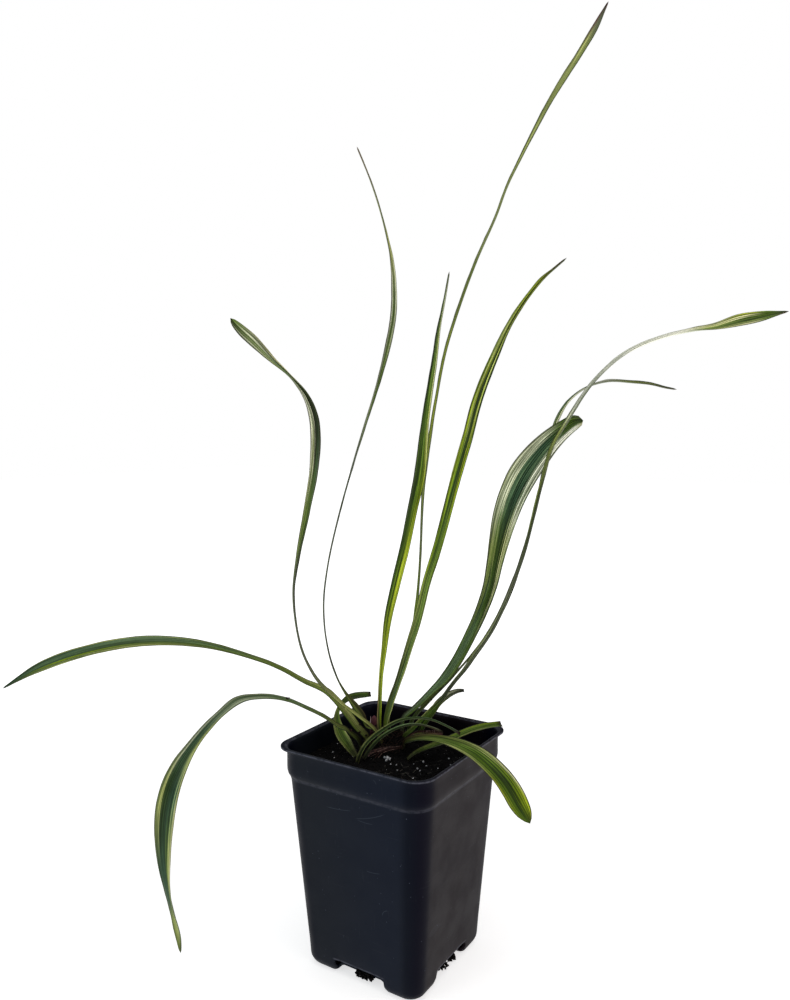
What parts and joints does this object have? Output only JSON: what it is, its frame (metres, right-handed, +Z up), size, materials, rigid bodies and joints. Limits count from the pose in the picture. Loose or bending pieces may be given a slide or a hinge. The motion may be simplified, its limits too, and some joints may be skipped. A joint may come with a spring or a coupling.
{
  "type": "potted variegated lilyturf",
  "caption": "Arching strap-leaved lilyturf with cream-edged blades, growing in a square tapered nursery pot with soil, a young shoot and a surface root.",
  "frame": {"origin": "middle of the pot on the ground, which is the bottom centre of the whole part's box to within a few millimetres", "axes": "+Z up through the pot and the crown, X and Y square to the pot's walls; the picture looks from -Y and a little from +X"},
  "size_m": [0.3462, 0.2532, 0.5203],
  "materials": {
    "pot": "blue-black recycled plastic with a soft sheen, dusty and finely scratched",
    "potting_mix": "dark peat with bark crumbs, root threads and white perlite",
    "leaf_green": "satin green blade with long veins and cream to yellow-green edge stripes",
    "leaf_olive": "satin olive blade with long veins and a pale edge stripe",
    "leaf_dark": "satin dark green blade with long veins and thin pale margins",
    "young_shoot": "waxy, red-purple at its foot and whitish at its tip",
    "dry_sheath": "dry, brown and papery",
    "root": "matt red-brown bark with lighter streaks"
  },
  "bodies": {
    "root": {"pot": "pot", "potting_mix": "potting_mix", "leaf_far_left": "leaf_green", "leaf_left_weeping": "leaf_green", "leaf_left_curled": "leaf_green", "leaf_tall_left": "leaf_dark", "leaf_centre": "leaf_green", "leaf_tallest": "leaf_olive", "leaf_centre_right": "leaf_olive", "leaf_broad_right": "leaf_green", "leaf_long_right": "leaf_green", "leaf_hooked_right": "leaf_olive", "leaf_over_rim": "leaf_green", "leaf_to_corner": "leaf_green", "leaf_front_arch": "leaf_dark", "leaf_front_arch_inner": "leaf_dark", "leaf_left_hook": "leaf_dark", "leaf_cut_short": "leaf_dark", "young_shoot": "young_shoot", "torn_sheath": "dry_sheath", "surface_root": "root"}
  },
  "joints": []
}
